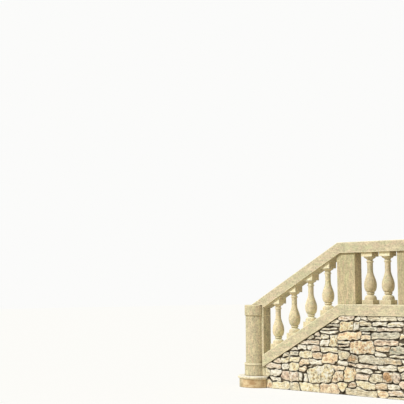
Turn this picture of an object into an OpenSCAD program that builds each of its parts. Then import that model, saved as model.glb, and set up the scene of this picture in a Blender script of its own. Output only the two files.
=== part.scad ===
// Stone balustrade on a rubble wall: a rounded bottom step carries a round
// newel, a raking bay of turned balusters climbs from it to the first pier,
// and level bays of two balusters between piers follow. All sizes are in
// millimetres. X runs along the wall, Y across it and Z up from the ground.

/* [Level bays] */
// Number of level bays after the raking bay
level_bays = 4; // [1:1:5]
// Balusters in each level bay
bay_balusters = 2; // [1:1:4]
// Clear gap between level balusters, and between baluster and pier
level_gap = 105; // [60:5:160]
// Width of a pier along the wall
pier_w = 290; // [200:10:420]
// Thickness of a pier across the wall
pier_t = 170; // [140:5:220]

/* [Raking bay] */
// Rise of one stair step beside the raking bay
step_rise = 165; // [130:5:180]
// Going of one stair step, which is also the pitch of the raking balusters
step_going = 297; // [260:1:340]
// Balusters in the raking bay
raking_balusters = 4; // [2:1:6]
// Height of a raking baluster's block at its shorter side
raking_block_h = 3; // [1:1:12]
// Height of the base rail's lower edge at the newel, above the ground
rail_foot_h = 298; // [240:1:400]

/* [Wall and rails] */
// Thickness of the wall
wall_t = 230; // [200:5:300]
// Height of the base rail
base_rail_h = 150; // [100:5:180]
// Overhang of the base rail past the wall, on each face
base_rail_over = 10; // [0:1:25]
// Height of the handrail
handrail_h = 145; // [100:5:180]
// Overhang of the handrail past the piers, on each face
handrail_over = 30; // [10:1:50]
// Chamfer along the long arrises of the rails
rail_chamfer = 8; // [2:1:20]
// Chamfer along the upright arrises of piers and blocks
pier_chamfer = 4; // [1:1:12]

/* [Balusters] */
// Height of a level baluster, from base rail to handrail
baluster_h = 700; // [640:10:800]
// Side of the square blocks at the top and bottom of a baluster
block_w = 170; // [150:5:200]
// Height of the square base block of a level baluster
base_block_h = 60; // [40:5:80]
// Height of the square top block of a level baluster
top_block_h = 60; // [40:5:80]
// Radius of the belly
belly_r = 85; // [70:1:90]
// Radius of the sleeve above the belly
sleeve_r = 39; // [28:1:45]
// Radius of the bell-shaped foot
foot_r = 82; // [65:1:85]
// Radius of the flare under the top block
flare_r = 78; // [60:1:84]

/* [Newel and step] */
// Radius of the newel's round shaft
shaft_r = 175; // [140:1:190]
// Distance from the newel's axis to the face that the rails butt against
newel_tail = 185; // [150:1:230]
// Projection of the cap past the shaft
cap_over = 13; // [5:1:25]
// Height of the cap
cap_h = 157; // [100:1:200]
// Height of the cap's top above the lower corner of the handrail notched onto it
rail_notch = 47; // [20:1:90]
// Projection of the base drum past the shaft
base_over = 17; // [8:1:30]
// Height of the base course's top above the lower corner of the base rail
base_course_over = 47; // [20:1:90]
// Height of the ring on top of the base drum
ring_h = 27; // [18:1:40]
// Projection of the ring past the base drum
ring_out = 8; // [3:1:15]
// Length of the base course's block past the face that the rails butt against
base_block_over = 58; // [20:1:100]
// Projection of the step's riser past the base drum
step_riser_over = 80; // [40:5:120]
// Projection of the nosing past the riser
nosing_over = 25; // [10:1:40]
// Thickness of the nosing
nosing_h = 38; // [25:1:50]

/* [Hidden] */
$fn = 96;
far = 10000;
arc_steps = 8;
blend_steps = 12;
overcut = 1;

slope = step_rise / step_going;
rake = atan(slope);
half_bend = tan(rake / 2);

base_rail_w = wall_t + 2 * base_rail_over;
handrail_w = pier_t + 2 * handrail_over;

// Along the wall: 0 is the left face of the first pier
level_pitch = pier_w + bay_balusters * block_w + (bay_balusters + 1) * level_gap;
last_pier_end = level_bays * level_pitch + pier_w;
raking_gap = step_going - block_w;
newel_face = -(raking_balusters * step_going + raking_gap);
newel_x = newel_face - newel_tail;

// The upper faces bend from the rake to level here, and the undersides where
// a mitre of constant depth puts them
bend_x = 27;
base_rail_bend = bend_x + base_rail_h * half_bend;
handrail_bend = bend_x + handrail_h * half_bend;

// The level wall is as high as the base rail has climbed from the newel
wall_h = rail_foot_h + slope * (base_rail_bend - newel_face);
base_rail_top = wall_h + base_rail_h;
handrail_bottom = base_rail_top + baluster_h;
handrail_top = handrail_bottom + handrail_h;

// The rakes: height at a place along the wall
function rake_z(x, level, bend) = level + slope * min(0, x - bend);
function base_rail_top_z(x) = rake_z(x, base_rail_top, bend_x);
function handrail_bottom_z(x) = rake_z(x, handrail_bottom, handrail_bend);
function wall_top_z(x) = rake_z(x, wall_h, base_rail_bend);

// Newel and step
base_drum_r = shaft_r + base_over;
cap_r = shaft_r + cap_over;
ring_r = base_drum_r + ring_out;
riser_r = base_drum_r + step_riser_over;
nosing_r = riser_r + nosing_over;
cap_top = handrail_bottom_z(newel_face) + rail_notch;
newel_base_top = rail_foot_h + base_course_over;
base_block_t = pier_t + base_over;
wall_start = newel_face + base_block_over;
cap_arris = 12;
nosing_cove = 8;

// Turned profile, from the top of the base block upwards
foot_h = 62;
foot_lip_h = 10;
foot_neck_out = 9;
scotia_h = 14;
scotia_depth = 5;
ring_band_h = 30;
ring_band_out = 17;
belly_root_out = 8;
belly_low_h = 96;
belly_high_h = 196;
astragal_h = 24;
astragal_out = 11;
neck_h = 14;
flare_h = 34;
fillet_h = 8;
bed = 2;
fixed_turned_h = foot_h + scotia_h + ring_band_h + belly_low_h + belly_high_h
    + astragal_h + neck_h + flare_h + fillet_h;
level_turned_h = baluster_h - base_block_h - top_block_h;

// A raking baluster's blocks fall across their width, which its turned part loses
raking_clear = baluster_h - slope * (handrail_bend - bend_x);
raking_turned_h = raking_clear - slope * block_w - 2 * raking_block_h;

// Ends along the wall, and the shift that puts the box centre at X = 0
left_end = newel_x - nosing_r;
end_over = (base_rail_w - pier_t) / 2;
wall_end_over = (wall_t - pier_t) / 2;
right_end = last_pier_end + max(end_over, handrail_over);
centre_x = (left_end + right_end) / 2;

function pier_x(i) = (i - 1) * level_pitch;
function pier_mid(i) = pier_x(i) + pier_w / 2;
function raking_baluster_x(i) = newel_face + raking_gap + block_w / 2 + (i - 1) * step_going;
function level_baluster_x(i) =
    let (bay = floor((i - 1) / bay_balusters), place = (i - 1) % bay_balusters)
    pier_x(bay + 1) + pier_w + level_gap + block_w / 2 + place * (block_w + level_gap);

// A rectangle with chamfered corners, centred
module chamfered_rect(w, h, c) {
    polygon([
        [-w / 2 + c, -h / 2], [w / 2 - c, -h / 2], [w / 2, -h / 2 + c], [w / 2, h / 2 - c],
        [w / 2 - c, h / 2], [-w / 2 + c, h / 2], [-w / 2, h / 2 - c], [-w / 2, -h / 2 + c]
    ]);
}

// Extrudes an outline drawn along X and Z across the wall
module across(t) {
    translate([0, t / 2, 0]) rotate([90, 0, 0]) linear_extrude(height = t) children();
}

// A straight rail from x0 to x1 whose top face lies at z = 0
module straight_rail(x0, x1, w, h) {
    c = rail_chamfer;
    translate([x0, 0, 0]) rotate([90, 0, 90]) linear_extrude(height = x1 - x0) polygon([
        [-w / 2, -h], [w / 2, -h], [w / 2, -c], [w / 2 - c, 0], [-w / 2 + c, 0], [-w / 2, -c]
    ]);
}

// All that lies under a top face with chamfered arrises, at an angle through the origin
module under_top(w, angle) {
    rim = w / 2 - rail_chamfer;
    rotate([0, -angle, 0]) translate([-far / 2, 0, 0]) rotate([90, 0, 90])
        linear_extrude(height = far)
            polygon([[-rim, 0], [rim, 0], [rim + far, -far], [-rim - far, -far]]);
}

// A rail that climbs the rake and bends to level, ending at x1: its lower end
// is an outline of points, from its underside to its top
module bent_rail(lower_end, x1, level, w, h) {
    clear = level + h;
    intersection() {
        across(w) polygon(concat(
            lower_end,
            [[lower_end[len(lower_end) - 1][0], clear], [x1, clear], [x1, level - h],
             [bend_x + h * half_bend, level - h]]
        ));
        translate([bend_x, 0, level]) under_top(w, rake);
        translate([0, 0, level]) under_top(w, 0);
    }
}

// The profile of the turned part as [radius, height] points
function turned_profile(h) =
    let (
        sleeve_h = h - fixed_turned_h,
        z_scotia = foot_h,
        z_ring = z_scotia + scotia_h,
        z_belly = z_ring + ring_band_h,
        z_wide = z_belly + belly_low_h,
        z_sleeve = z_wide + belly_high_h,
        z_astragal = z_sleeve + sleeve_h,
        z_neck = z_astragal + astragal_h,
        z_flare = z_neck + neck_h,
        foot_top_r = sleeve_r + foot_neck_out,
        belly_low_r = sleeve_r + belly_root_out
    )
    concat(
        [[0, -bed], [foot_r, -bed]],
        [for (i = [0:arc_steps]) let (t = 90 * i / arc_steps)
            [foot_top_r + (foot_r - foot_top_r) * cos(t),
             foot_lip_h + (foot_h - foot_lip_h) * sin(t)]],
        [for (i = [1:arc_steps - 1]) let (t = 180 * i / arc_steps)
            [foot_top_r - scotia_depth * sin(t), z_scotia + scotia_h * (1 - cos(t)) / 2]],
        [for (i = [0:arc_steps]) let (t = 180 * i / arc_steps)
            [sleeve_r + ring_band_out * sin(t), z_ring + ring_band_h * (1 - cos(t)) / 2]],
        [for (i = [0:arc_steps]) let (t = 90 * i / arc_steps)
            [belly_low_r + (belly_r - belly_low_r) * sin(t), z_wide - belly_low_h * cos(t)]],
        [for (i = [1:blend_steps]) let (u = i / blend_steps)
            [sleeve_r + (belly_r - sleeve_r) * (1 + cos(180 * u)) / 2,
             z_wide + belly_high_h * u]],
        [for (i = [0:arc_steps]) let (t = 180 * i / arc_steps)
            [sleeve_r + astragal_out * sin(t), z_astragal + astragal_h * (1 - cos(t)) / 2]],
        [for (i = [0:arc_steps]) let (u = i / arc_steps)
            [sleeve_r + (flare_r - sleeve_r) * (1 - cos(180 * u)) / 2, z_flare + flare_h * u]],
        [[flare_r, h + bed], [0, h + bed]]
    );

// The turned part of a baluster, of height h between its blocks
module turned(h) {
    rotate_extrude() polygon(turned_profile(h));
}

// A square block with chamfered upright arrises
module block(z0, z1) {
    translate([0, 0, z0]) linear_extrude(height = z1 - z0) chamfered_rect(block_w, block_w, pier_chamfer);
}

// The bottom step, whose rounded end carries the newel
module curtail_step() {
    nosing_mid = step_rise - nosing_h / 2;
    nosing_round = nosing_over - nosing_cove;
    color("tan") difference() {
        translate([newel_x, 0, 0]) rotate_extrude() polygon(concat(
            [[0, 0], [riser_r, 0], [riser_r, step_rise - nosing_h - nosing_cove]],
            [for (i = [0:arc_steps]) let (t = -90 + 180 * i / arc_steps)
                [nosing_r - nosing_round * (1 - cos(t)), nosing_mid + nosing_h / 2 * sin(t)]],
            [[0, step_rise]]
        ));
        translate([wall_start, -wall_t / 2, -overcut]) cube([far, wall_t, step_rise + 2 * overcut]);
    }
}

// The base course of the newel: a ringed drum with a block towards the wall
module newel_base() {
    ring_mid = newel_base_top - ring_h / 2;
    color("wheat") {
        translate([newel_x, 0, 0]) rotate_extrude() polygon(concat(
            [[0, step_rise], [base_drum_r, step_rise], [base_drum_r, newel_base_top - ring_h]],
            [for (i = [0:arc_steps]) let (t = -90 + 180 * i / arc_steps)
                [base_drum_r + (ring_r - base_drum_r) * cos(t), ring_mid + ring_h / 2 * sin(t)]],
            [[0, newel_base_top]]
        ));
        across(base_block_t) polygon([
            [newel_x, step_rise], [wall_start, step_rise],
            [wall_start, wall_top_z(wall_start)],
            [newel_face, wall_top_z(newel_face)],
            [newel_face, newel_base_top], [newel_x, newel_base_top]
        ]);
    }
}

// The shaft course: a round drum with the block that the rails butt against
module newel_shaft() {
    color("wheat") {
        translate([newel_x, 0, newel_base_top])
            cylinder(r = shaft_r, h = cap_top - cap_h - newel_base_top);
        translate([newel_x, 0, 0]) newel_tail_block(newel_base_top, cap_top - cap_h);
    }
}

// The block of a newel course, from the drum's axis to the butting face
module newel_tail_block(z0, z1) {
    translate([0, -pier_t / 2, z0]) cube([newel_tail, pier_t, z1 - z0]);
}

// The cap course, with rounded lower and upper arrises
module newel_cap() {
    low = cap_top - cap_h;
    color("wheat") translate([newel_x, 0, 0]) {
        rotate_extrude() polygon(concat(
            [[0, low], [shaft_r, low]],
            [for (i = [0:arc_steps]) let (t = -90 + 90 * i / arc_steps)
                [cap_r - cap_arris * (1 - cos(t)), low + cap_arris * (1 + sin(t))]],
            [for (i = [0:arc_steps]) let (t = 90 * i / arc_steps)
                [cap_r - cap_arris * (1 - cos(t)), cap_top - cap_arris * (1 - sin(t))]],
            [[0, cap_top]]
        ));
        newel_tail_block(low, cap_top);
    }
}

// The wall under the raking bay, up to the middle of the first pier
module raking_wall() {
    color("rosybrown") across(wall_t) polygon([
        [wall_start, 0], [pier_mid(1), 0], [pier_mid(1), wall_h],
        [base_rail_bend, wall_h], [wall_start, wall_top_z(wall_start)]
    ]);
}

// The wall under the level bays, with its plain end
module level_wall() {
    color("rosybrown") translate([pier_mid(1), -wall_t / 2, 0])
        cube([last_pier_end + wall_end_over - pier_mid(1), wall_t, wall_h]);
}

// The base rail on the rake, with its short level end under the first pier
module raking_base_rail() {
    color("palegoldenrod") bent_rail(
        [[newel_face, wall_top_z(newel_face)]],
        pier_mid(1), base_rail_top, base_rail_w, base_rail_h
    );
}

// The handrail on the rake, seated on the newel's cap with a notch at its block
module raking_handrail() {
    color("palegoldenrod") bent_rail(
        [[newel_face, handrail_bottom_z(newel_face)], [newel_face, cap_top],
         [newel_x - cap_r, cap_top]],
        pier_mid(1), handrail_top, handrail_w, handrail_h
    );
}

// A baluster on the rake: its blocks are cut to the slopes of both rails
module raking_baluster(i) {
    x = raking_baluster_x(i);
    reach = block_w / 2 + overcut;
    turned_low = base_rail_top_z(x + block_w / 2) + raking_block_h;
    turned_high = turned_low + raking_turned_h;
    color("cornsilk") translate([x, 0, 0]) {
        intersection() {
            block(turned_low - 2 * block_w, turned_low);
            across(2 * block_w) polygon([
                [-reach, base_rail_top_z(x - reach)], [reach, base_rail_top_z(x + reach)],
                [reach, turned_low], [-reach, turned_low]
            ]);
        }
        translate([0, 0, turned_low]) turned(raking_turned_h);
        intersection() {
            block(turned_high, turned_high + 2 * block_w);
            across(2 * block_w) polygon([
                [-reach, turned_high], [reach, turned_high],
                [reach, handrail_bottom_z(x + reach)], [-reach, handrail_bottom_z(x - reach)]
            ]);
        }
    }
}

// A baluster in a level bay
module level_baluster(i) {
    color("cornsilk") translate([level_baluster_x(i), 0, base_rail_top]) {
        block(0, base_block_h);
        translate([0, 0, base_block_h]) turned(level_turned_h);
        block(baluster_h - top_block_h, baluster_h);
    }
}

// A pier: the first is cut to the bends of both rails at its left edge
module pier(i) {
    left = pier_x(i) - overcut;
    right = pier_x(i) + pier_w + overcut;
    color("wheat") intersection() {
        translate([pier_mid(i), 0, wall_h])
            linear_extrude(height = handrail_top - wall_h) chamfered_rect(pier_w, pier_t, pier_chamfer);
        across(2 * pier_t) polygon([
            [left, base_rail_top_z(left)], [max(left, bend_x), base_rail_top],
            [right, base_rail_top], [right, handrail_bottom],
            [max(left, handrail_bend), handrail_bottom], [left, handrail_bottom_z(left)]
        ]);
    }
}

// A base rail from pier to pier; the last one runs past the end pier
module level_base_rail(i) {
    finish = i == level_bays ? last_pier_end + end_over : pier_mid(i + 1);
    color("palegoldenrod") translate([0, 0, base_rail_top])
        straight_rail(pier_mid(i), finish, base_rail_w, base_rail_h);
}

// A handrail from pier to pier; the last one runs past the end pier
module level_handrail(i) {
    finish = i == level_bays ? last_pier_end + handrail_over : pier_mid(i + 1);
    color("palegoldenrod") translate([0, 0, handrail_top])
        straight_rail(pier_mid(i), finish, handrail_w, handrail_h);
}

translate([-centre_x, 0, 0]) {
    curtail_step();
    newel_base();
    newel_shaft();
    newel_cap();
    raking_wall();
    level_wall();
    raking_base_rail();
    raking_handrail();
    for (i = [1:raking_balusters])
        raking_baluster(i);
    for (i = [1:level_bays + 1])
        pier(i);
    for (i = [1:level_bays]) {
        level_base_rail(i);
        level_handrail(i);
    }
    for (i = [1:level_bays * bay_balusters])
        level_baluster(i);
}
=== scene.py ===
import math
import random

import bpy
import numpy as np
from mathutils import Matrix, Vector, noise


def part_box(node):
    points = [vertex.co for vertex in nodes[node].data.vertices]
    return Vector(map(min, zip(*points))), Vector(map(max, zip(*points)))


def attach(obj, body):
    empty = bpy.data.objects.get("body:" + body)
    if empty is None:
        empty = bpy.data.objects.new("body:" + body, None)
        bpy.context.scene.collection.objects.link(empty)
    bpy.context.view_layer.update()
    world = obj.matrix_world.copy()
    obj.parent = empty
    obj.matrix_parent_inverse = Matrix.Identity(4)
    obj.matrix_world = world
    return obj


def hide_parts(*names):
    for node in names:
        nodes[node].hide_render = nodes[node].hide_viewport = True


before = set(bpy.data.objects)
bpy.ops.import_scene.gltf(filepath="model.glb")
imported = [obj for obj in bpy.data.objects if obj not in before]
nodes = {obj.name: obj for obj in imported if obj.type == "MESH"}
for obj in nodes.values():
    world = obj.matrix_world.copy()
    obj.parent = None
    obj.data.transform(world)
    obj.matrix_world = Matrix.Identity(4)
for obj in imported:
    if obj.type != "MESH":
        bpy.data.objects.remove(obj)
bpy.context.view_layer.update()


# Bottom step
# One block of limestone with a rounded end, which carries the newel. Damp stains its riser,
# which turns greyer towards the rounded end. Its nosing keeps a pale cream, partly rubbed
# pale by feet and partly painted light, and its foot has a painted contact shadow.
class Signal:
    """An output of a material's node tree. Arithmetic on it adds Math nodes."""

    def __init__(self, socket):
        self.socket = socket

    def make(self, kind, settings=None, inputs=None, output=0):
        """Adds a node of a kind: its settings first, then values or links for its inputs."""
        tree = self.socket.id_data
        node = tree.nodes.new(kind)
        for name, value in (settings or {}).items():
            if name == "stops":
                ramp = node.color_ramp
                for _ in value[2:]:
                    ramp.elements.new(1.0)
                for element, (place, colour) in zip(ramp.elements, value):
                    element.position = place
                    element.color = (*colour, 1.0)
            else:
                setattr(node, name, value)
        for name, value in (inputs or {}).items():
            socket = node.inputs[name]
            if isinstance(value, Signal):
                tree.links.new(value.socket, socket)
            else:
                socket.default_value = (*value, 1.0) if socket.type == "RGBA" else value
        return Signal(node.outputs[output])

    def maths(self, operation, first, second=0.0):
        return self.make("ShaderNodeMath", {"operation": operation}, {0: first, 1: second})

    def __add__(self, other):
        return self.maths("ADD", self, other)

    __radd__ = __add__

    def __sub__(self, other):
        return self.maths("SUBTRACT", self, other)

    def __rsub__(self, other):
        return self.maths("SUBTRACT", other, self)

    def __mul__(self, other):
        return self.maths("MULTIPLY", self, other)

    __rmul__ = __mul__

    def __abs__(self):
        return self.maths("ABSOLUTE", self)

    def vector(self, operation, inputs, output="Vector"):
        """Arithmetic on vectors and colours."""
        return self.make("ShaderNodeVectorMath", {"operation": operation}, inputs, output)

    def axis(self, letter):
        """These coordinates, or this direction, along X, Y or Z."""
        return self.make("ShaderNodeSeparateXYZ", None, {0: self}, letter)

    def scaled(self, factor):
        """This colour times a factor, kept below white."""
        bright = self.vector("SCALE", {0: self, "Scale": factor})
        return bright.vector("MINIMUM", {0: bright, 1: (0.95, 0.94, 0.88)})

    def band(self, low, high):
        """0 below low, 1 above high, and a straight rise between."""
        return self.make("ShaderNodeMapRange", None, {"Value": self, "From Min": low, "From Max": high})

    def between(self, low, high, soft=0.004):
        """1 from low to high, and 0 further past them than the soft width."""
        return self.band(low - soft, low) * (1.0 - self.band(high, high + soft))

    def mix(self, colour_a, colour_b):
        """Colour a where this signal is 0, colour b where it is 1."""
        inputs = {0: self, 6: colour_a, 7: colour_b}
        return self.make("ShaderNodeMix", {"data_type": "RGBA"}, inputs, 2)

    def clouds(self, scale, detail, roughness):
        """Fractal noise on these coordinates, from 0 to 1."""
        inputs = {"Vector": self, "Scale": scale, "Detail": detail, "Roughness": roughness}
        return self.make("ShaderNodeTexNoise", None, inputs)

    def stretched(self, scale, shift=(0.0, 0.0, 0.0)):
        """These coordinates scaled along each axis and shifted."""
        return self.make("ShaderNodeMapping", None, {"Vector": self, "Location": shift, "Scale": scale})


def bare_tree(owner):
    """The emptied node tree of a material or a world."""
    owner.use_nodes = True
    owner.node_tree.nodes.clear()
    return owner.node_tree


def new_material(name):
    """An empty material with its shader, and its Object coordinates as a signal."""
    material = bpy.data.materials.new(name)
    tree = bare_tree(material)
    shader = tree.nodes.new("ShaderNodeBsdfPrincipled")
    surface = tree.nodes.new("ShaderNodeOutputMaterial")
    tree.links.new(shader.outputs["BSDF"], surface.inputs["Surface"])
    shader.inputs["Specular IOR Level"].default_value = 0.25
    coords = Signal(tree.nodes.new("ShaderNodeTexCoord").outputs["Object"])
    return material, shader, coords


def paint(shader, colour):
    """Gives the shader its colour, in place of any it had."""
    shader.id_data.links.new(colour.socket, shader.inputs["Base Color"])


def set_surface(shader, colour, roughness, height, relief):
    """Gives the shader its colour, its roughness, and height as bump of a relief in metres."""
    normal = height.make("ShaderNodeBump", None, {"Height": height, "Strength": 1.0, "Distance": relief})
    paint(shader, colour)
    shader.id_data.links.new(roughness.socket, shader.inputs["Roughness"])
    shader.id_data.links.new(normal.socket, shader.inputs["Normal"])


# Dark dirt of real joints, also used for painted shade under edges and at a stone's foot
JOINT_DIRT_AND_SHADE = (0.20, 0.16, 0.10)


def limestone(name, cream, moss, blush, streaks, joints=0.0, tone=1.0, shade_and_grime=0.65, contrast=0.8):
    """Dressed limestone: mottled along its streaks, pitted, pale on arrises and upper faces with wear and
    painted highlight, dark in hollows with painted shade and dirt.
    """
    material, shader, coords = new_material(name)
    cream, moss, blush = (tuple(tone * c for c in colour) for colour in (cream, moss, blush))
    pale = tuple(min(0.95, 1.35 * c + 0.08) for c in cream)
    shade = tuple(0.66 * c for c in cream)

    drawn = coords.stretched(streaks, (3.7, 1.3, 5.1))
    patches = drawn.clouds(3.5, 6.0, 0.66)
    spots = drawn.clouds(13.0, 5.0, 0.70)
    blushes = coords.stretched(streaks, (9.1, 4.7, 2.3)).clouds(12.0, 5.0, 0.70)
    speckle = coords.clouds(46.0, 5.0, 0.75)
    pits = coords.clouds(170.0, 2.0, 0.5).band(0.62, 0.72)
    colour = patches.band(0.42, 0.58).mix(cream, moss)
    colour = (blushes.band(0.46, 0.62) * 0.80).mix(colour, blush)
    colour = ((1.0 - spots).band(0.52, 0.68) * 0.60).mix(colour, pale)
    colour = (speckle.band(0.50, 0.72) * 0.30).mix(colour, shade)
    colour = (pits * 0.30).mix(colour, shade)
    mottling = 2.5 * spots + 2.7 * speckle - 2.63
    colour = colour.scaled(1.0 + contrast * mottling)

    # A blurred normal finds the arrises, and a joint wherever it turns along the wall
    rounded = coords.make("ShaderNodeBevel", {"samples": 4}, {"Radius": 0.018})
    facing = coords.make("ShaderNodeNewGeometry", output="Normal")
    arris = (1.0 - coords.vector("DOT_PRODUCT", {0: rounded, 1: facing}, "Value")).band(0.01, 0.12)
    # Faces that point up get a painted highlight, and arrises are pale with wear and painted highlight
    upward = rounded.axis("Z").band(0.35, 0.85)
    # Ambient occlusion finds the hollows, which are darkened by painted shade with some dirt
    occlusion = 1.0 - coords.make("ShaderNodeAmbientOcclusion", {"samples": 8}, {"Distance": 0.05}, "AO")
    hollow_shade_and_dirt = occlusion.band(0.24, 0.56)
    worn_and_highlit = (arris + 0.8 * upward) * speckle.band(0.32, 0.46) * (1.0 - hollow_shade_and_dirt)
    colour = (worn_and_highlit * 0.9).mix(colour, pale)
    colour = (hollow_shade_and_dirt * shade_and_grime).mix(colour, (0.22, 0.17, 0.10))
    if joints:
        turned = abs(coords.vector("SUBTRACT", {0: rounded, 1: facing}).axis("X"))
        colour = (turned.band(0.38, 0.55) * joints).mix(colour, JOINT_DIRT_AND_SHADE)
    height = speckle * 0.8 + spots * 0.9 - pits * 0.6
    set_surface(shader, colour, 0.80 + 0.12 * speckle, height, 0.005)
    return material, shader, coords, colour


def foot_shadow_and_dirt(colour, height, low, high):
    """The colour darkened at the stone's foot by a painted contact shadow with some dirt, fading between two
    heights.
    """
    return ((1.0 - height.band(low, high)) * 0.6).mix(colour, JOINT_DIRT_AND_SHADE)


def dress(node, material):
    """Gives every slot of a CAD node a material."""
    slots = nodes[node].data.materials
    slots.clear()
    slots.append(material)


RISER_TOP, NOSING_LOW = 0.112, 0.130
ROUND_END, STRAIGHT_PART = 0.14, 0.26
# Its cream is paler than the other stones', partly as painted light that shows on the nosing
step_stone, shader, coords, colour = limestone(
    "step_limestone", cream=(0.92, 0.85, 0.62), moss=(0.88, 0.80, 0.56), blush=(0.88, 0.76, 0.52),
    streaks=(1.0, 1.0, 2.5)
)
from_end = coords.axis("X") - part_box("curtail_step")[0].x
height = coords.axis("Z")
stain = coords.stretched((1.0, 1.0, 2.0)).clouds(9.0, 5.0, 0.65)
stained = stain.band(0.40, 0.60).mix((0.76, 0.59, 0.35), (0.52, 0.35, 0.19))
greyer_at_round_end = (1.0 - from_end.band(ROUND_END, STRAIGHT_PART)) * (0.5 + 0.5 * stain.band(0.35, 0.50))
stained = greyer_at_round_end.mix(stained, (0.47, 0.44, 0.30))
riser = 1.0 - height.band(RISER_TOP, NOSING_LOW)
colour = (riser * (0.55 + 0.45 * stain.band(0.30, 0.55))).mix(colour, stained)
# Painted contact shadow with some dirt darkens the step's foot
paint(shader, foot_shadow_and_dirt(colour, height, 0.004, 0.012))
dress("curtail_step", step_stone)


# Newel
# Three courses, each a round drum with a block towards the rails. Rain leaves faint streaks
# down them. The ring has a painted highlight, and painted shadow with some dirt darkens the
# foot joint and the stone under the ring and the cap.
RING_HEIGHT = 0.027
newel_stone, shader, coords, colour = limestone(
    "newel_limestone", cream=(0.65, 0.59, 0.40), moss=(0.585, 0.565, 0.37), blush=(0.66, 0.53, 0.38),
    streaks=(2.2, 2.2, 0.6)
)
height = coords.axis("Z")
base_low, base_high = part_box("newel_base")
ring_radius, ring_top = base_high.y, base_high.z
ring_bottom, cap_bottom = ring_top - RING_HEIGHT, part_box("newel_cap")[0].z
on_drum = 1.0 - (coords.axis("X") - base_low.x).band(1.6 * ring_radius, 1.8 * ring_radius)
# Painted contact shadow with some joint dirt darkens the base's foot
colour = foot_shadow_and_dirt(colour, height, base_low.z + 0.004, base_low.z + 0.010)
# Painted highlight on the ring
ring = height.between(ring_bottom + 0.002, ring_top - 0.002) * on_drum
colour = (ring * 0.55).mix(colour, (0.92, 0.87, 0.66))
# Painted shadow with some dirt under the ring and under the cap
for edge in (ring_bottom, cap_bottom):
    colour = (height.between(edge - 0.010, edge) * on_drum * 0.40).mix(colour, JOINT_DIRT_AND_SHADE)
paint(shader, colour)
for name in ("newel_base", "newel_shaft", "newel_cap"):
    dress(name, newel_stone)


# Piers
# Single upright stones between the rails, a little darker than the rest and streaked by
# rain that runs off the handrail. Each has its own tone.
for number, tone in enumerate((1.03, 0.91, 1.00, 0.95, 1.02), 1):
    pier = f"pier_{number}"
    pier_stone = limestone(
        pier + "_limestone", cream=(0.595, 0.52, 0.33), moss=(0.52, 0.505, 0.305), blush=(0.61, 0.475, 0.33),
        streaks=(2.6, 2.6, 0.5), tone=tone
    )[0]
    dress(pier, pier_stone)


# Rails
# Long square stones laid end to end under and over the piers, sawn and rubbed, with a
# faint bedding along their length, and upper arrises pale with wear and a painted highlight.
rail_stone = limestone(
    "rail_limestone", cream=(0.67, 0.61, 0.43), moss=(0.60, 0.595, 0.395), blush=(0.69, 0.565, 0.425),
    streaks=(0.8, 2.0, 2.2), joints=0.8, contrast=0.65
)[0]
for name in sorted(nodes):
    if "rail" in name:
        dress(name, rail_stone)


# Balusters
# Each is cut from one block of limestone and turned between two square ends, with a tone
# of its own; the raking ones are painted brighter, as if lit by the bright ground near them.
# The faces of the upper ends get a painted highlight, which offsets the handrail's shadow.
LEVEL_END, RAKING_END = 0.060, 0.003
LEVEL_TONES, RAKING_PAINTED_BRIGHT_TONES = (0.95, 0.98, 1.00, 0.95), (1.18, 1.12, 1.16, 1.12)
wall_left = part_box("raking_wall")[0].x
wall_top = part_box("level_wall")[1].z

# The rake of the rails and of the wall's top, from the corners of the CAD solid
HAIR = 1e-4
wall_corners = [vertex.co for vertex in nodes["raking_wall"].data.vertices]
low_end = max(corner.z for corner in wall_corners if corner.x < wall_left + HAIR)
bend = min(corner.x for corner in wall_corners if corner.z > wall_top - HAIR)
rake = (wall_top - low_end) / (bend - wall_left)

for name in sorted(nodes):
    if "baluster" in name:
        place = int(name[-1]) - 1
        low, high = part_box(name)
        if "raking" in name:
            tone, painted_highlight = RAKING_PAINTED_BRIGHT_TONES[place], 0.3
            end_bottom = high.z - rake * (high.x - low.x) - RAKING_END
        else:
            tone, painted_highlight = LEVEL_TONES[place % 4], 0.5
            end_bottom = high.z - LEVEL_END
        turned_stone, shader, coords, colour = limestone(
            name + "_limestone", cream=(0.71, 0.62, 0.42), moss=(0.645, 0.61, 0.40),
            blush=(0.71, 0.58, 0.415), streaks=(1.6, 1.6, 1.2), tone=tone, shade_and_grime=0.40, contrast=0.6
        )
        across = abs(coords.make("ShaderNodeNewGeometry", output="Normal").axis("Y"))
        # Painted highlight on the front and back faces of the upper end
        painted_light_band = coords.axis("Z").band(end_bottom - 0.004, end_bottom) * across.band(0.75, 0.85)
        paint(shader, colour.scaled(1.0 + painted_highlight * painted_light_band))
        dress(name, turned_stone)


# Rubble wall
# Stones of many kinds, laid roughly in courses with raked joints: boulders low
# down, thin slabs higher up, and a course of even slabs under the rail.

# In metres: the joints' usual width, how far a stone may spread past its own box, how
# deep it is bedded, and the spacing of its mesh on the seen front and elsewhere
JOINT, CROWDING, BEDDED = 0.010, 0.025, 0.050
FINE, COARSE = 0.010, 0.014
TONES = {
    "slate": (0.36, 0.38, 0.31), "grey": (0.55, 0.53, 0.44), "green": (0.62, 0.56, 0.40),
    "white": (0.97, 0.95, 0.82), "cream": (0.83, 0.74, 0.51), "ochre": (0.81, 0.68, 0.43),
    "orange": (0.85, 0.60, 0.39), "blush": (0.70, 0.56, 0.40), "pink": (0.62, 0.47, 0.37),
    "lilac": (0.66, 0.56, 0.47), "dun": (0.50, 0.43, 0.30), "brown": (0.28, 0.22, 0.14),
    "rust": (0.45, 0.28, 0.15),
}
KINDS = ["grey", "green", "white", "white", "cream", "cream", "ochre", "orange", "blush", "lilac"]
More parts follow.
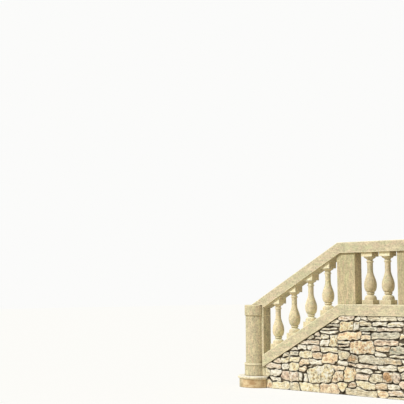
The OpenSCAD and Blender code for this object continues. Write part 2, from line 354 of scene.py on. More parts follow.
# Stones laid first, from the left face of the first pier and up from the ground in
# metres: their left, right, bottom and top, their tilt in degrees, and their kind. Some
# also have their corners cut, as shares of their smaller half size: upper right, lower
# right, upper left, lower left
LAID = [
    (0.04, 0.27, 0.998, 1.058, 0, "lilac"), (0.27, 0.37, 0.995, 1.058, 0, "white"),
    (0.37, 0.50, 1.000, 1.058, 0, "white"), (0.50, 0.68, 0.995, 1.058, 0, "green"),
    (0.68, 0.93, 1.000, 1.058, 0, "green"), (0.93, 1.12, 0.998, 1.058, 0, "white"),
    (-0.15, 0.03, 0.950, 0.998, 0, "green"), (-0.22, 0.03, 0.902, 0.944, 0, "grey"),
    (-0.29, 0.015, 0.862, 0.898, 0, "grey"), (-0.29, 0.015, 0.808, 0.858, 0, "white"),
    (0.04, 0.26, 0.850, 0.985, 0, "ochre", (0.1, 0.2, 0.3, 0.1)),
    (0.265, 0.355, 0.850, 0.980, 0, "white", (0.2, 0.9, 0.0, 0.5)),
    (0.365, 0.56, 0.925, 0.988, 0, "green"), (0.56, 0.81, 0.925, 0.990, -1, "white"),
    (0.815, 1.03, 0.925, 0.988, 0, "white"), (0.365, 0.625, 0.865, 0.920, 0, "slate"),
    (0.635, 1.02, 0.865, 0.917, 0, "lilac"), (0.03, 0.39, 0.730, 0.842, 0, "orange"),
    (0.41, 0.54, 0.820, 0.856, 2, "white"), (0.53, 0.965, 0.765, 0.850, 1, "grey"),
    (0.97, 1.11, 0.760, 0.850, 0, "ochre"), (0.40, 0.52, 0.755, 0.812, 0, "blush"),
    (-0.145, 0.015, 0.640, 0.800, 0, "cream"), (0.60, 0.96, 0.680, 0.755, 0, "pink"),
    (0.965, 1.12, 0.680, 0.750, 0, "grey"), (0.81, 1.05, 0.570, 0.672, 0, "slate"),
    (0.20, 0.60, 0.560, 0.730, 3, "orange", (0.9, 0.2, 0.5, 0.6)),
    (0.02, 0.20, 0.682, 0.722, 0, "cream"), (0.02, 0.20, 0.638, 0.677, 0, "blush"),
    (0.02, 0.19, 0.600, 0.632, 2, "white"), (0.61, 0.80, 0.602, 0.672, 0, "blush"),
    (0.61, 0.80, 0.532, 0.594, 2, "white"), (0.80, 1.04, 0.528, 0.564, 0, "green"),
    (-0.27, 0.00, 0.556, 0.630, 0, "cream"), (0.01, 0.17, 0.465, 0.592, 0, "green", (0.0, 0.8, 0.1, 0.1)),
    (0.18, 0.34, 0.430, 0.545, 0, "brown", (1.1, 0.1, 0.9, 0.0)),
    (0.35, 0.70, 0.435, 0.535, 0, "grey", (0.0, 0.1, 0.1, 0.3)),
    (0.71, 0.99, 0.435, 0.522, 0, "dun"), (1.00, 1.14, 0.430, 0.520, 0, "white"),
    (-0.25, -0.01, 0.425, 0.548, 0, "orange", (0.1, 0.2, 0.5, 0.3)),
    (0.00, 0.165, 0.395, 0.457, 0, "white"), (0.175, 0.295, 0.385, 0.425, 0, "pink"),
    (0.30, 0.63, 0.365, 0.425, 0, "lilac"), (0.64, 0.91, 0.365, 0.425, 1, "white"),
    (0.92, 1.12, 0.360, 0.425, 0, "cream"), (0.29, 0.54, 0.305, 0.358, 0, "white"),
    (0.55, 0.67, 0.320, 0.358, 0, "green"),
    (0.10, 0.285, 0.190, 0.378, 4, "orange", (0.3, 0.2, 0.5, 0.1)),
    (-0.09, 0.09, 0.165, 0.315, -4, "blush", (0.1, 0.1, 1.0, 0.0)),
    (-0.08, 0.09, 0.325, 0.385, 0, "blush"), (0.285, 0.50, 0.210, 0.298, 0, "lilac"),
    (0.51, 0.705, 0.190, 0.318, 0, "green", (0.2, 0.1, 0.9, 0.2)),
    (0.71, 0.85, 0.200, 0.350, -10, "rust"), (0.86, 0.96, 0.200, 0.340, -22, "lilac"),
    (0.96, 1.12, 0.250, 0.350, 0, "grey"), (0.96, 1.12, 0.130, 0.240, 0, "pink"),
    (0.00, 0.15, 0.045, 0.165, 0, "ochre", (0.1, 1.0, 0.1, 0.9)),
    (0.165, 0.29, 0.100, 0.165, 0, "blush"),
    (0.29, 0.59, 0.098, 0.198, -5, "cream", (0.1, 0.2, 0.2, 0.9)),
    (0.59, 0.77, 0.105, 0.192, 0, "blush"), (0.78, 0.95, 0.120, 0.185, 0, "white"),
    (0.13, 0.61, 0.000, 0.092, -4, "green"), (0.62, 0.76, 0.020, 0.095, 0, "orange"),
    (0.77, 1.02, 0.035, 0.112, 0, "lilac"), (0.77, 1.06, 0.000, 0.030, 0, "cream"),
    (-0.38, -0.28, 0.760, 0.835, 0, "lilac"), (-0.27, -0.15, 0.735, 0.800, 0, "cream"),
    (-0.53, -0.39, 0.730, 0.778, 8, "green"), (-0.39, -0.28, 0.720, 0.755, 4, "lilac"),
    (-0.63, -0.29, 0.650, 0.716, 3, "lilac"), (-0.28, -0.15, 0.638, 0.728, 0, "white"),
    (-0.65, -0.53, 0.575, 0.642, 0, "white"), (-0.52, -0.44, 0.570, 0.642, 0, "white"),
    (-0.43, -0.285, 0.552, 0.645, 0, "lilac"), (-0.64, -0.42, 0.460, 0.566, 0, "cream"),
    (-0.41, -0.26, 0.462, 0.545, 0, "blush"), (-0.65, -0.49, 0.360, 0.450, 0, "blush"),
    (-0.48, -0.27, 0.378, 0.455, 0, "white", (0.2, 0.8, 0.1, 0.1)),
    (-0.51, -0.36, 0.332, 0.364, 4, "white"), (-0.66, -0.51, 0.268, 0.345, 8, "blush"),
    (-0.512, -0.090, 0.122, 0.378, 6, "cream", (0.3, 0.5, 0.6, 0.6)),
    (-0.59, -0.52, 0.145, 0.255, 0, "white"), (-0.66, -0.60, 0.135, 0.258, 0, "white"),
    (-0.66, -0.32, 0.000, 0.124, 0, "cream"), (-0.31, -0.01, 0.000, 0.125, 0, "blush"),
    (-1.15, -0.99, 0.368, 0.430, 2, "lilac"), (-1.22, -0.99, 0.290, 0.360, 2, "lilac"),
    (-0.98, -0.84, 0.375, 0.452, 0, "cream"), (-0.97, -0.83, 0.270, 0.366, 0, "white"),
    (-1.17, -0.98, 0.180, 0.280, 0, "white"), (-1.26, -1.185, 0.150, 0.280, 0, "cream"),
    (-0.965, -0.83, 0.140, 0.262, 0, "pink"), (-1.18, -0.975, 0.108, 0.172, 0, "white"),
    (-1.26, -1.16, 0.020, 0.138, 0, "orange"), (-1.14, -0.84, 0.000, 0.102, 3, "cream"),
    (-0.93, -0.84, 0.460, 0.520, 0, "grey"), (-0.83, -0.66, 0.480, 0.550, 0, "grey"),
    (-0.83, -0.66, 0.400, 0.470, 0, "cream"), (-0.82, -0.67, 0.270, 0.390, 0, "ochre"),
    (-0.82, -0.67, 0.130, 0.260, 0, "lilac"), (-0.83, -0.67, 0.000, 0.120, 0, "green"),
    (-0.80, -0.66, 0.560, 0.600, 0, "white"),
]
# The photograph shows the front up to here, right of the first pier's left face
SEEN_TO = 1.04
# What each point of a stone carries for its material: its kind, a shift of the pattern, 1
# for slabs and 0 for blocks, and three marks that are 0 at its edge, its bed or its top
# and 1 from MARK_REACH metres away
MARKS = ("stone_kind", "stone_shift", "stone_slab", "from_joint", "above_bed", "below_top")
MARK_REACH = 0.02

wall_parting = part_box("raking_wall")[1].x
wall_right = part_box("level_wall")[1].x
half_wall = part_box("level_wall")[1].y
pier_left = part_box("pier_1")[0].x


def wall_top_at(x):
    """Height of the wall's raking or level top at a place along it."""
    return wall_top + rake * np.minimum(0.0, x - bend)


class Stone:
    """A rough stone's outline on the wall's face: a rounded box that tilts, leans and tapers."""

    def __init__(self, left, right, bottom, top, tilt, kind, draw, cuts=None):
        self.x, self.z = (left + right) / 2.0, (bottom + top) / 2.0
        self.half_w, self.half_h = (right - left) / 2.0, (top - bottom) / 2.0
        angle = math.radians(tilt + draw.uniform(-1.5, 1.5))
        self.cos, self.sin = math.cos(angle), math.sin(angle)
        self.mid_x, self.mid_z, self.slope = self.x, self.z, math.tan(angle)
        self.slab = min(1.0, max(0.0, 2.2 - 16.0 * (top - bottom)))
        smaller = min(self.half_w, self.half_h)
        self.corner = draw.uniform(0.2, 0.6) * smaller
        drawn = [max(0.0, draw.uniform(-0.3, 0.75)) for _ in range(4)]
        self.cuts = [share * smaller for share in cuts or drawn]
        self.lean = draw.uniform(-1.0, 1.0) * (0.22 + 0.45 * self.slab)
        self.wedge = draw.uniform(-0.22, 0.22)
        self.tone = (list(TONES).index(kind) + 0.5) / len(TONES) + draw.uniform(-0.02, 0.02)
        self.shift = draw.uniform(0.0, 1.0)
        self.proud = draw.uniform(-0.012, 0.002)
        self.arris = draw.uniform(0.003, 0.007) + 0.06 * self.half_h

    def square(self):
        """Dresses it square and level, as the wall's end needs."""
        self.lean = self.wedge = self.sin = self.corner = 0.0
        self.cos = 1.0
        self.cuts = [0.0] * 4

    def distance(self, x, z):
        """How far points of the face lie outside the box; less than 0 inside it."""
        along = (x - self.x) * self.cos + (z - self.z) * self.sin
        up = (z - self.z) * self.cos - (x - self.x) * self.sin
        past_end = np.abs(along + self.lean * up) - self.half_w + self.corner
        past_bed = np.abs(up) - self.half_h - self.wedge * self.half_h * along / self.half_w + self.corner
        outside = np.hypot(np.maximum(past_end, 0.0), np.maximum(past_bed, 0.0))
        box = outside + np.minimum(np.maximum(past_end, past_bed), 0.0) - self.corner
        right = np.where(up > 0.0, self.cuts[0], self.cuts[1])
        cut = np.where(along > 0.0, right, np.where(up > 0.0, self.cuts[2], self.cuts[3]))
        past_cut = (np.abs(along + self.lean * up) + np.abs(up) - self.half_w - self.half_h + cut) * 0.707
        return np.maximum(box, past_cut)

    def settle(self, x, z):
        """Sets the middle and slope that its outline is drawn from by points of the room it has."""
        self.mid_x, self.mid_z = x.mean(), z.mean()
        slope = np.mean((x - self.mid_x) * (z - self.mid_z)) / np.mean((x - self.mid_x) ** 2)
        self.slope = float(np.clip(slope, -0.2, 0.2)) if self.half_w > self.half_h else self.slope

    def face(self, u, v):
        """Places on the wall's face, given as shares of the half sizes from the middle."""
        along, up = u * self.half_w, v * self.half_h
        return self.mid_x + along, self.mid_z + up + self.slope * along

    def grid_lines(self, half, spacing):
        """Lines of its mesh as shares of a half size, evenly spaced but closer near its arrises."""
        edge = min(0.45, self.arris / half)
        count = max(2, round(2.0 * half * (1.0 - edge) / spacing))
        even = [(1.0 - edge) * (2.0 * i / count - 1.0) for i in range(count + 1)]
        outer = [1.0 - 0.55 * edge, 1.0 - 0.22 * edge, 1.0]
        return np.array([-place for place in reversed(outer)] + even + outer)

    def ridges(self, x, z):
        """The relief of its split face at points of the wall's face, in layers on a slab."""
        layer = 1.0 + 2.2 * self.slab
        heights = [
            0.0120 * (0.25 - abs(noise.noise(Vector((a * 8.0, b * 8.0 * layer, self.shift * 50.0)))))
            + 0.0070 * noise.noise(Vector((a * 20.0, b * 20.0 * layer, self.shift * 90.0)))
            + 0.0040 * noise.noise(Vector((a * 45.0, b * 45.0 * layer, self.shift * 70.0)))
            for a, b in zip(x.flat, z.flat)
        ]
        return np.array(heights).reshape(x.shape)

    def near(self, other):
        """Whether another stone is close enough to meet it."""
        apart_x = abs(self.x - other.x) - self.half_w - other.half_w
        apart_z = abs(self.z - other.z) - self.half_h - other.half_h
        return other is not self and max(apart_x, apart_z) < 0.08


# Other stones fill cells of this size, in metres, and stray from them by the slack
CELL_W, CELL_H, SLACK = 0.045, 0.036, 0.007


def courses(left, right, ends, draw):
    """Stones of mixed sizes on rough courses, between two places along the wall and around its ends."""
    columns, rows = round((right - left) / CELL_W), round(wall_top / CELL_H)
    used = set()
    stones = []
    for column in range(columns):
        for row in range(rows):
            x, z = left + (column + 0.7) * CELL_W, (row + 0.5) * CELL_H
            if any(end.distance(x, z) < 0.0 for end in ends):
                used.add((column, row))

    def fits(column, row, wide, tall):
        cells = [(c, r) for c in range(column, column + wide) for r in range(row, row + tall)]
        return column + wide <= columns and row + tall <= rows and not used.intersection(cells)

    for row in range(rows):
        for column in range(columns):
            middle = left + (column + 0.5) * CELL_W
            cells_above = (wall_top_at(middle) - row * CELL_H) / CELL_H
            if (column, row) in used or cells_above < 0.4:
                continue
            blocks, small_stones = 0.42 - 0.40 * row / rows, 0.55
            chance = draw.random()
            if row >= rows - 2:
                wide, tall = draw.choice((4, 5, 6)), rows - row
            elif chance < blocks:
                wide, tall = draw.choice((4, 5, 6, 8)), draw.choice((3, 4, 5, 6))
            elif chance < small_stones:
                wide, tall = draw.choice((2, 3, 4)), draw.choice((1, 2, 3))
            else:
                wide, tall = draw.choice((4, 5, 6, 7, 9)), draw.choice((1, 2, 2))
            while not fits(column, row, wide, tall):
                if wide > 1 and not fits(column, row, wide, 1):
                    wide -= 1
                else:
                    tall -= 1
            used.update((c, r) for c in range(column, column + wide) for r in range(row, row + tall))
            kind = draw.choice(KINDS)
            box = (
                left + column * CELL_W + draw.uniform(-SLACK, SLACK),
                left + (column + wide) * CELL_W + draw.uniform(-SLACK, SLACK),
                row * CELL_H + draw.uniform(-SLACK, SLACK),
                (row + tall) * CELL_H + draw.uniform(-SLACK, SLACK),
            )
            stones.append(Stone(*box, draw.uniform(-2.0, 2.0), kind, draw))
    return stones


# The joints wander by waves of these lengths and sways in metres, three of each
draw = random.Random(11)
WAVES = [
    (length, sway, *[draw.uniform(0.0, math.tau) for _ in range(3)])
    for length, sway in ((0.31, 0.007), (0.17, 0.006), (0.10, 0.005), (0.055, 0.003), (0.03, 0.0012))
    for _ in range(3)
]


def wander(x, z):
    """Points of the face moved a little, so that the joints between stones wander."""
    moved_x, moved_z = x, z
    for length, sway, turn, start, aim in WAVES:
        swing = np.sin(math.tau * (x * math.cos(turn) + 1.6 * z * math.sin(turn)) / length + start)
        moved_x = moved_x + sway * math.cos(aim) * swing
        moved_z = moved_z + 0.6 * sway * math.sin(aim) * swing
    return moved_x, moved_z


def room(stone, neighbours, x, z, joint_width):
    """Twice how far points of the face lie from the joints around a stone; less than 0 past them."""
    moved_x, moved_z = wander(x, z)
    own = stone.distance(moved_x, moved_z)
    others = np.min([other.distance(moved_x, moved_z) for other in neighbours], axis=0)
    joint = joint_width * (1.0 + 0.45 * np.sin(23.0 * x + 41.0 * z) + 0.35 * np.sin(57.0 * x - 31.0 * z))
    under_rail = wall_top_at(x) - z - 0.004
    return np.minimum.reduce([
        others - own - joint, 2.0 * (CROWDING - own) - joint, 2.0 * under_rail, 2.0 * z,
        2.0 * (x - wall_left) - joint, 2.0 * (wall_right - x)
    ])


# Rays from a stone's middle run this far in shares of its half size, in steps and then
# halvings. A stone that holds fewer of the points tried around it is left out
FARTHEST, STEPS, HALVINGS, LEAST_HELD = 1.6, 48, 7, 40


def outline(stone, neighbours, across, up):
    """How far rays from a stone's middle run up to a joint, or None if it has no room."""
    u, v = np.meshgrid(np.linspace(-1.3, 1.3, 27), np.linspace(-1.6, 1.6, 21))
    x, z = stone.face(u, v)
    held = room(stone, neighbours, x, z, JOINT) >= 0.0
    if np.count_nonzero(held) < LEAST_HELD:
        return None
    stone.settle(x[held], z[held])
    if room(stone, neighbours, stone.mid_x, stone.mid_z, JOINT) < 0.001:
        return None
    to_bed = up ** 4 / (up ** 4 + across ** 4)
    joint_width = JOINT * (0.50 + 0.95 * to_bed)
    end_x, end_z = stone.face(across, up)
    run_x, run_z = end_x - stone.mid_x, end_z - stone.mid_z

    def inside(share):
        x, z = stone.mid_x + share * run_x, stone.mid_z + share * run_z
        return room(stone, neighbours, x, z, joint_width) >= 0.0

    shares = np.linspace(0.0, FARTHEST, STEPS + 1)[:, None]
    held = inside(shares)
    first_out = np.where(held.all(axis=0), STEPS, np.argmin(held, axis=0))
    low, high = shares[first_out - 1, 0], shares[first_out, 0]
    for _ in range(HALVINGS):
        middle = (low + high) / 2.0
        held = inside(middle)
        low, high = np.where(held, middle, low), np.where(held, high, middle)
    return low


class Masonry:
    """Collects stones and makes them one mesh, each a closed shell of its own."""

    def __init__(self):
        self.points = []
        self.faces = []
        self.marks = {mark: [] for mark in MARKS}

    def add(self, stone, place, from_joint, above_bed, below_top):
        """Adds a point of a stone with its marks, and gives its number."""
        values = (stone.tone, stone.shift, stone.slab, from_joint, above_bed, below_top)
        for mark, value in zip(MARKS, values):
            self.marks[mark].append(value)
        self.points.append(place)
        return len(self.points) - 1

    def bed(self, stone, neighbours, side, spacing):
        """Beds a stone in one face of the wall: side is -1 for the front and 1 for the back."""
        along, upward = stone.grid_lines(stone.half_w, spacing), stone.grid_lines(stone.half_h, spacing)
        wide, tall = len(along), len(upward)
        border = [(i, 0) for i in range(wide)] + [(wide - 1, j) for j in range(1, tall)]
        border += [(i, tall - 1) for i in range(wide - 2, -1, -1)] + [(0, j) for j in range(tall - 2, 0, -1)]
        rim_u = np.array([along[i] for i, _ in border])
        rim_v = np.array([upward[j] for _, j in border])
        reach = outline(stone, neighbours, rim_u, rim_v)
        if reach is None:
            return
        # No ray runs much further than those beside it, or slivers would be left
        for _ in range(8):
            reach = np.minimum(reach, 1.10 * np.minimum(np.roll(reach, 1), np.roll(reach, -1)) + 0.02)
        reach = (np.roll(reach, 1) + 2.0 * reach + np.roll(reach, -1)) / 4.0

        u, v = np.meshgrid(along, upward)
        rim_turn = np.arctan2(rim_v, rim_u)
        order = np.argsort(rim_turn)
        run = np.interp(np.arctan2(v, u), rim_turn[order], reach[order], period=math.tau)
        x, z = stone.face(run * u, run * v)
        z = np.maximum(0.0, z)
        inset = np.minimum((1.0 - np.abs(u)) * stone.half_w, (1.0 - np.abs(v)) * stone.half_h) * run
        curve = np.maximum(0.0, 1.0 - inset / stone.arris)
        rim = stone.arris * (1.0 - np.sqrt(np.maximum(0.0, 1.0 - curve * curve)))
        crown = (0.003 + 0.004 * (1.0 - stone.slab)) * (1.0 - u * u) * (1.0 - v * v)
        ridges = stone.ridges(x, z) * (1.0 - 0.6 * curve)
        out = half_wall - 0.003 + stone.proud + crown + ridges - rim

        from_joint = np.clip(inset / MARK_REACH, 0.0, 1.0)
        above_bed = np.clip((1.0 + v) * stone.half_h * run / MARK_REACH, 0.0, 1.0)
        below_top = np.clip((1.0 - v) * stone.half_h * run / MARK_REACH, 0.0, 1.0)
        values = [grid.ravel() for grid in (x, side * out, z, from_joint, above_bed, below_top)]
        numbers = [self.add(stone, (a, b, c), *marks) for a, b, c, *marks in zip(*values)]
        grid = np.array(numbers).reshape(x.shape).tolist()
        back = side * (half_wall - BEDDED)
        skirt = [
            self.add(stone, (x[j, i], back, z[j, i]), 0.0, above_bed[j, i], below_top[j, i])
            for i, j in border
        ]
        made = []
        for lower, upper in zip(grid, grid[1:]):
            for i in range(wide - 1):
                made.append([lower[i], lower[i + 1], upper[i + 1], upper[i]])
        ring = [grid[j][i] for i, j in border]
        for k, here in enumerate(ring):
            after = (k + 1) % len(ring)
            made.append([ring[after], here, skirt[k], skirt[after]])
        made.append(skirt[::-1])
        self.faces += [face[::-1] for face in made] if side > 0 else made

    def through_stone(self, stone):
        """A squared stone at the wall's end, which shows on both faces and on the end."""
        bed_gap = 0.001
        lows = (stone.x - stone.half_w + JOINT / 2.0, -half_wall, stone.z - stone.half_h + bed_gap)
        highs = (stone.x + stone.half_w, half_wall, stone.z + stone.half_h - bed_gap)
        counts = [max(3, round((high - low) / COARSE)) for low, high in zip(lows, highs)]
        numbers = {}

        def number(steps):
            key = tuple(steps)
            if key not in numbers:
                shares = [step / count for step, count in zip(steps, counts)]
                place = Vector(low + (high - low) * share for low, high, share in zip(lows, highs, shares))
                sides = Vector((share == 1.0) - (share == 0.0) for share in shares)
                met = sum(abs(side) for side in sides)
                spot = place + Vector((0.0, stone.shift * 4.0, 0.0))
                rough = 0.007 * noise.noise(spot * 13.0) + 0.003 * noise.noise(spot * 37.0)
                place += sides.normalized() * (rough - 0.006 * (met - 1.0) - 0.005)
                place.z = min(wall_top, max(0.0, place.z))
                above_bed, below_top = min(1.0, steps[2]), min(1.0, counts[2] - steps[2])
                numbers[key] = self.add(stone, tuple(place), 1.0 - 0.5 * (met - 1.0), above_bed, below_top)
            return numbers[key]

        for axis in range(3):
            b, c = (axis + 1) % 3, (axis + 2) % 3
            for end in (0, counts[axis]):
                for i in range(counts[b]):
                    for j in range(counts[c]):
                        corners = []
                        for di, dj in ((0, 0), (1, 0), (1, 1), (0, 1)):
                            steps = [0, 0, 0]
                            steps[axis], steps[b], steps[c] = end, i + di, j + dj
                            corners.append(number(steps))
                        self.faces.append(corners if end else corners[::-1])

    def piece(self, name, node, material):
        """The stones as one piece of the scene that stands for a wall's solid."""
        mesh = bpy.data.meshes.new(name)
        mesh.from_pydata(self.points, [], self.faces)
        for mark, values in self.marks.items():
            mesh.attributes.new(mark, "FLOAT", "POINT").data.foreach_set("value", values)
        mesh.materials.append(material)
        made = bpy.data.objects.new(name, mesh)
        bpy.context.scene.collection.objects.link(made)
        bpy.ops.object.select_all(action="DESELECT")
        made.select_set(True)
        bpy.context.view_layer.objects.active = made
        bpy.ops.object.shade_smooth_by_angle(angle=math.radians(50))
        place_wall_piece(made, node)


def place_wall_piece(piece, node):
    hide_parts(node)
    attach(piece, "root")


# The stones' colours: their kind's tone, drifting towards its neighbours in the list of
# tones, then iron stains, chalk, cracks and partings, pale edges partly worn and partly
# painted highlight, and painted shadow under each stone and along its joints
rubble, shader, coords = new_material("rubble_stone")
marks = {}
for mark in MARKS:
    marks[mark] = coords.make("ShaderNodeAttribute", {"attribute_name": mark}, output="Fac")
slab = marks["stone_slab"]
own = coords.vector("SCALE", {0: (31.0, 17.0, 23.0), "Scale": marks["stone_shift"]})
own = own.vector("ADD", {0: own, 1: coords})
beds = own.stretched((1.0, 1.0, 4.0))
massive, layered = own.clouds(13.0, 5.0, 0.68), beds.clouds(13.0, 5.0, 0.68)
drift = massive + slab * (layered - massive)
lumpy, leafy = own.clouds(22.0, 5.0, 0.74), beds.clouds(15.0, 5.0, 0.74)
fine = lumpy + slab * (leafy - lumpy)
grain = coords.clouds(110.0, 3.0, 0.7)
stops = [((place + 0.5) / len(TONES), colour) for place, colour in enumerate(TONES.values())]
tone = marks["stone_kind"] + (drift - 0.5) * 0.36
colour = tone.make("ShaderNodeValToRGB", {"stops": stops}, {"Fac": tone})
colour = (drift.band(0.53, 0.61) * 0.50).mix(colour, (0.88, 0.62, 0.38))
colour = ((1.0 - drift).band(0.52, 0.60) * 0.55).mix(colour, (0.93, 0.90, 0.75))
colour = colour.scaled((6.0 - slab) * (fine - 0.5) + 1.4 * grain + 0.43)
cracked = (1.0 - fine).band(0.59, 0.69)
colour = (cracked * 0.7).mix(colour, (0.20, 0.15, 0.09))
# Painted highlight along each stone's top
painted_top_highlight = (1.0 - marks["below_top"].band(0.10, 0.60)) * fine.band(0.38, 0.50)
colour = (painted_top_highlight * 0.55).mix(colour, (0.97, 0.94, 0.82))
# Painted highlight on each stone's lower edge, as if lit from the pale ground
painted_bed_highlight = (1.0 - marks["above_bed"].band(0.70, 1.00)) * fine.band(0.36, 0.48)
colour = (painted_bed_highlight * 0.50).mix(colour, (0.96, 0.92, 0.78))
# A pale rim round each stone, partly wear and partly painted highlight
worn_and_highlit_rim = (1.0 - marks["from_joint"].band(0.30, 0.65)) * fine.band(0.36, 0.50)
colour = (worn_and_highlit_rim * 0.40).mix(colour, (0.96, 0.93, 0.80))
parted = 1.0 - abs(leafy - 0.46).band(0.004, 0.020)
colour = (parted * slab * 0.5).mix(colour, (0.25, 0.20, 0.13))
# Painted shadow just above each stone's bed, under the stone above
painted_light_band = 1.0 - marks["above_bed"].band(0.08, 0.40)
colour = (painted_light_band * 0.90).mix(colour, (0.06, 0.045, 0.025))
# Painted shade along each stone's edge next to the joints
painted_edge_shade = 1.0 - marks["from_joint"].band(0.02, 0.20)
colour = (painted_edge_shade * 0.70).mix(colour, (0.08, 0.06, 0.035))
height = (fine * 1.6 + drift * 0.8) * (1.0 - 0.7 * slab) + grain * 0.3
set_surface(shader, colour, 0.85 + 0.1 * grain, height, 0.020)

# The mortar is painted near black deep in the joints, as painted shade, and pale near the
# face, which lies 0.115 m from the wall's middle
DEEP, SHALLOW = 0.082, 0.100
mortar, shader, coords = new_material("wall_mortar")
sand = coords.clouds(60.0, 5.0, 0.7)
# Near-black painted shade deep in the joints
colour = sand.band(0.4, 0.6).mix((0.012, 0.009, 0.006), (0.07, 0.055, 0.035))
colour = abs(coords.axis("Y")).band(DEEP, SHALLOW).mix(colour, (0.50, 0.42, 0.30))
set_surface(shader, colour, 0.9 + 0.05 * sand, sand, 0.006)

# The wall's end, from the ground up: each stone's kind, and the beds as shares of the height
END_KINDS = ["cream", "white", "green", "pink", "ochre", "white", "cream", "grey", "white"]
END_BEDS = [0.0, 0.16, 0.25, 0.38, 0.48, 0.61, 0.71, 0.83, 0.92, 1.0]
END_LENGTHS = (0.36, 0.22)
draw = random.Random(21)
end_stones = []
for place, kind in enumerate(END_KINDS):
    low, high = (share * wall_top for share in END_BEDS[place:place + 2])
    left = wall_right - END_LENGTHS[place % 2]
    end_stones.append(Stone(left, wall_right, low, high, 0.0, kind, draw))
wall_end = Masonry()
for stone in end_stones:
    stone.square()
    wall_end.through_stone(stone)
wall_end.piece("wall_end_stones", "level_wall", rubble)

for side, view, seed in ((-1, "front", 3), (1, "back", 5)):
    draw = random.Random(seed)
    laid = []
    first = wall_left
    if side < 0:
        for left, right, bottom, top, tilt, kind, *cuts in LAID:
            place = (pier_left + left, pier_left + right, bottom, top)
            laid.append(Stone(*place, tilt, kind, draw, *cuts))
        first = pier_left + SEEN_TO
    laid += courses(first, wall_right, end_stones, draw)
    others = laid + end_stones
    raking, level = Masonry(), Masonry()
    for stone in laid:
        neighbours = [other for other in others if stone.near(other)]
        spacing = FINE if side < 0 and stone.x < pier_left + SEEN_TO else COARSE
        (raking if stone.x < wall_parting else level).bed(stone, neighbours, side, spacing)
    raking.piece(f"raking_wall_{view}_stones", "raking_wall", rubble)
    level.piece(f"level_wall_{view}_stones", "level_wall", rubble)

# Mortar fills each wall between its stones, a little uneven, and stops inside the end stones
MORTAR_DEPTH, MORTAR_END, MORTAR_GRID = 0.030, 0.014, 0.025
for node in ("raking_wall", "level_wall"):
    low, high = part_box(node)
    if node == "level_wall":
        high.x -= MORTAR_END
    length, height = high.x - low.x, high.z - low.z
    bpy.ops.object.select_all(action="DESELECT")
    bpy.ops.mesh.primitive_grid_add(
        x_subdivisions=round(length / MORTAR_GRID), y_subdivisions=round(height / MORTAR_GRID), size=1.0,
        location=((low.x + high.x) / 2.0, MORTAR_DEPTH - half_wall, height / 2.0),
        rotation=(math.pi / 2.0, 0.0, 0.0)
    )
    bed = bpy.context.object
    bed.name = node + "_mortar"
    bed.scale = (length, height, 1.0)
    bpy.ops.object.transform_apply(location=True, rotation=True, scale=True)
    bpy.ops.object.mode_set(mode="EDIT")
    bpy.ops.mesh.select_all(action="SELECT")
    through = {"value": (0.0, 2.0 * (half_wall - MORTAR_DEPTH), 0.0)}
    bpy.ops.mesh.extrude_region_move(TRANSFORM_OT_translate=through)
    if node == "raking_wall":
        bpy.ops.mesh.select_all(action="SELECT")
        bpy.ops.mesh.bisect(
            plane_co=(bend, 0.0, wall_top), plane_no=(-rake, 0.0, 1.0), use_fill=True, clear_outer=True
        )
    bpy.ops.mesh.select_all(action="SELECT")
    bpy.ops.mesh.normals_make_consistent(inside=False)
    bpy.ops.object.mode_set(mode="OBJECT")
    lumps = bpy.data.textures.new(node + "_lumps", "CLOUDS")
    lumps.noise_scale = 0.09
    uneven = bed.modifiers.new("uneven", "DISPLACE")
    uneven.texture = lumps
    uneven.texture_coords = "LOCAL"
    uneven.direction = "Y"
    uneven.strength = 0.020
    bpy.ops.object.modifier_apply(modifier="uneven")
    bed.data.materials.append(mortar)
    place_wall_piece(bed, node)


# Floor, light and camera
# A plain pale floor and sky. A broad sun stands to the front left and the
# camera stands at the front right, as in the photograph.
def seen_directly(tree):
    """1 for what is seen, also in a gloss or through glass, and 0 for what only lights the stone."""
    seen = Signal(tree.nodes.new("ShaderNodeLightPath").outputs["Is Camera Ray"])
    for ray in ("Is Glossy Ray", "Is Transmission Ray"):
        seen = seen.maths("MAXIMUM", seen, seen.make("ShaderNodeLightPath", output=ray))
    return seen


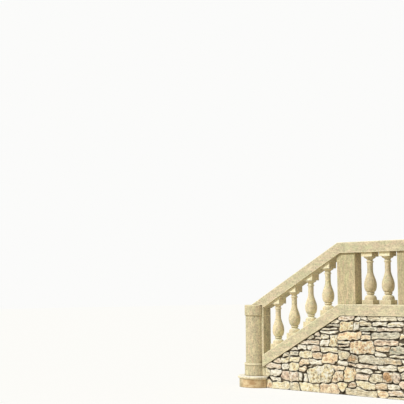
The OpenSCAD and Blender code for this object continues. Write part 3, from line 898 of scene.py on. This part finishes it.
bpy.ops.mesh.primitive_plane_add(size=120.0, location=(0.0, 20.0, 0.0))
floor = bpy.context.object
floor.name = "floor"
floor_paint = bpy.data.materials.new("floor_paint")
tree = bare_tree(floor_paint)
seen = seen_directly(tree)
lit = seen.make("ShaderNodeBsdfDiffuse", None, {"Color": (0.95, 0.95, 0.92)})
white = seen.make("ShaderNodeEmission", None, {"Color": (1.0, 1.0, 0.985), "Strength": 1.0})
pale = seen.make("ShaderNodeMixShader", None, {0: 0.72, 1: lit, 2: white})
bounced = seen.make("ShaderNodeBsdfDiffuse", None, {"Color": (0.70, 0.64, 0.52)})
mixed = seen.make("ShaderNodeMixShader", None, {0: seen, 1: bounced, 2: pale})
surface = tree.nodes.new("ShaderNodeOutputMaterial")
tree.links.new(mixed.socket, surface.inputs["Surface"])
floor.data.materials.append(floor_paint)

sky = bpy.data.worlds.new("sky")
bpy.context.scene.world = sky
tree = bare_tree(sky)
seen = seen_directly(tree)
shown = seen.mix((0.62, 0.60, 0.55), (0.965, 0.965, 0.955))
glow = seen.make("ShaderNodeBackground", None, {"Color": shown, "Strength": 0.62 + 0.38 * seen})
surface = tree.nodes.new("ShaderNodeOutputWorld")
tree.links.new(glow.socket, surface.inputs["Surface"])

sun_data = bpy.data.lights.new("sun", "SUN")
sun_data.energy = 2.85
sun_data.angle = math.radians(12.0)
sun_data.color = (1.0, 0.97, 0.92)
sun = bpy.data.objects.new("sun", sun_data)
bpy.context.scene.collection.objects.link(sun)
to_left, lift = math.radians(27.0), math.radians(40.0)
to_sun = Vector((-math.sin(to_left) * math.cos(lift), -math.cos(to_left) * math.cos(lift), math.sin(lift)))
sun.rotation_mode = "QUATERNION"
sun.rotation_quaternion = to_sun.to_track_quat("Z", "Y")

# The photograph's width and its lens's focal length in pixels, and how its camera stood
PHOTO_WIDTH, FOCAL_LENGTH = 404.0, 900.0
PLACE, TURN, RAISE, ROLL = (5.9955, -10.407, 1.389), 43.205, 5.71, -0.202
camera_data = bpy.data.cameras.new("camera")
camera_data.sensor_width = 36.0
camera_data.lens = FOCAL_LENGTH / PHOTO_WIDTH * camera_data.sensor_width
camera_data.clip_end = 300.0
camera = bpy.data.objects.new("camera", camera_data)
bpy.context.scene.collection.objects.link(camera)
turned = Matrix.Rotation(math.radians(TURN), 4, "Z")
raised = Matrix.Rotation(math.radians(90.0 + RAISE), 4, "X")
rolled = Matrix.Rotation(math.radians(ROLL), 4, "Z")
camera.matrix_world = Matrix.Translation(PLACE) @ turned @ raised @ rolled
bpy.context.scene.camera = camera
bpy.context.scene.view_settings.view_transform = "Standard"
